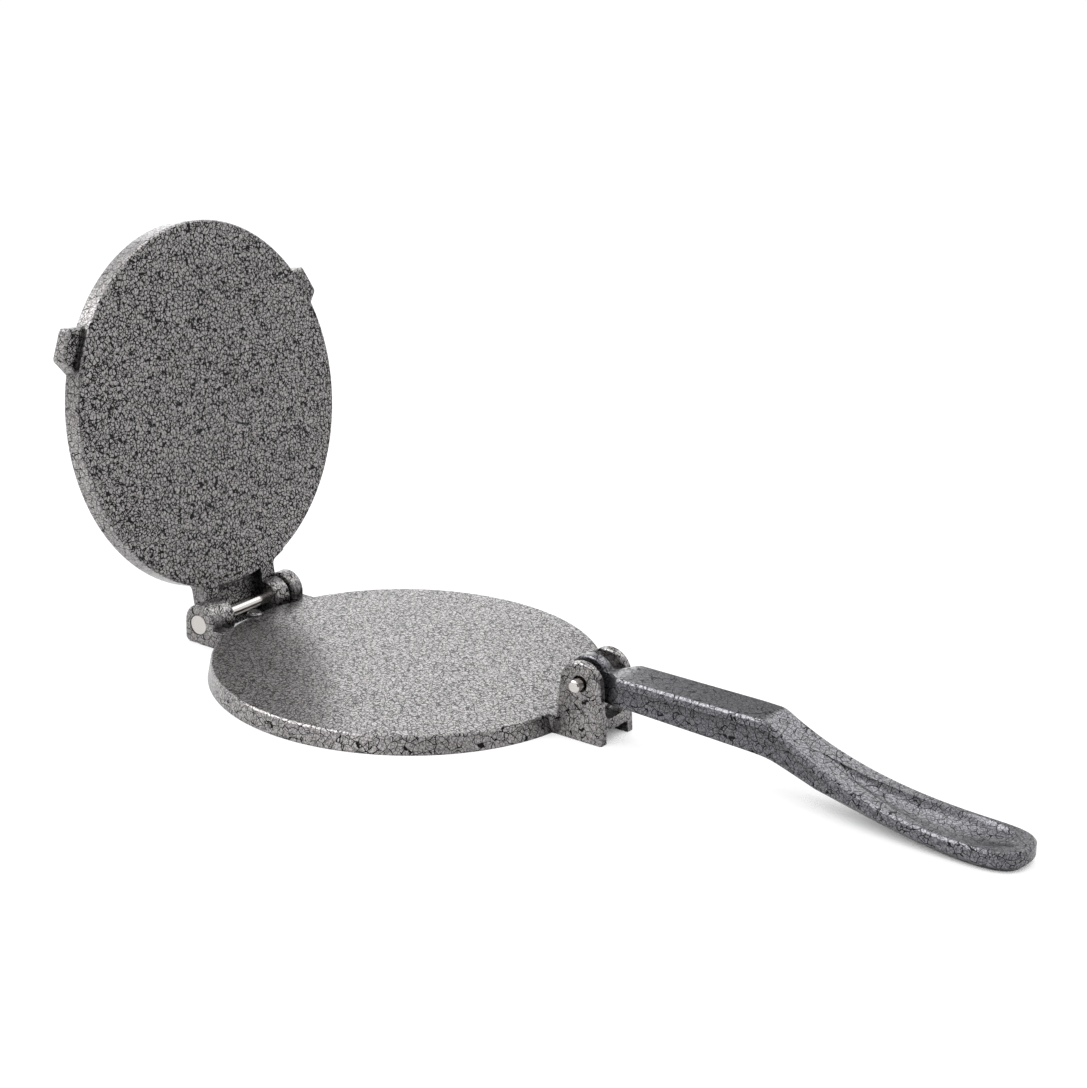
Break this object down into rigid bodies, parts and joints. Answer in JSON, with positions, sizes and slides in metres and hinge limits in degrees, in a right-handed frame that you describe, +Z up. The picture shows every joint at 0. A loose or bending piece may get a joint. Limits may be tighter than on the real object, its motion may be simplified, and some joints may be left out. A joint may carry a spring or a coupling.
{
  "type": "tortilla press",
  "caption": "Cast-iron tortilla press: a round base plate, a round lid hinged behind it, and a front lever that swings over the closed lid to press it down.",
  "frame": {"origin": "centre of the base plate's underside, on the table", "axes": "+X from the rear hinge towards the lever, +Y across the press along the hinge axes, +Z up"},
  "size_m": [0.5062, 0.2028, 0.2129],
  "materials": {
    "base_iron": "grey hammertone enamel on cast iron, glossy with fine dark veins",
    "lid_iron": "grey hammertone enamel on cast iron, glossy with fine dark veins",
    "lever_iron": "grey hammertone enamel on cast iron, glossy with wider dark veins",
    "pin_steel": "bright drawn steel rod"
  },
  "bodies": {
    "base": {"base_plate": "base_iron", "hinge_pin": "pin_steel", "lever_pin": "pin_steel"},
    "lid": {"upper_plate": "lid_iron"},
    "lever": {"pressing_lever": "lever_iron"}
  },
  "joints": [
    {"name": "lid_hinge", "type": "hinge", "parent": "base", "child": "lid", "pos_m": [-0.1108, 0, 0.0102], "axis": [0, 1, 0], "range_deg": [0, 100.4]},
    {"name": "lever_pivot", "type": "hinge", "parent": "base", "child": "lever", "pos_m": [0.1152, 0, 0.0294], "axis": [0, -1, 0], "range_deg": [0, 180]}
  ]
}
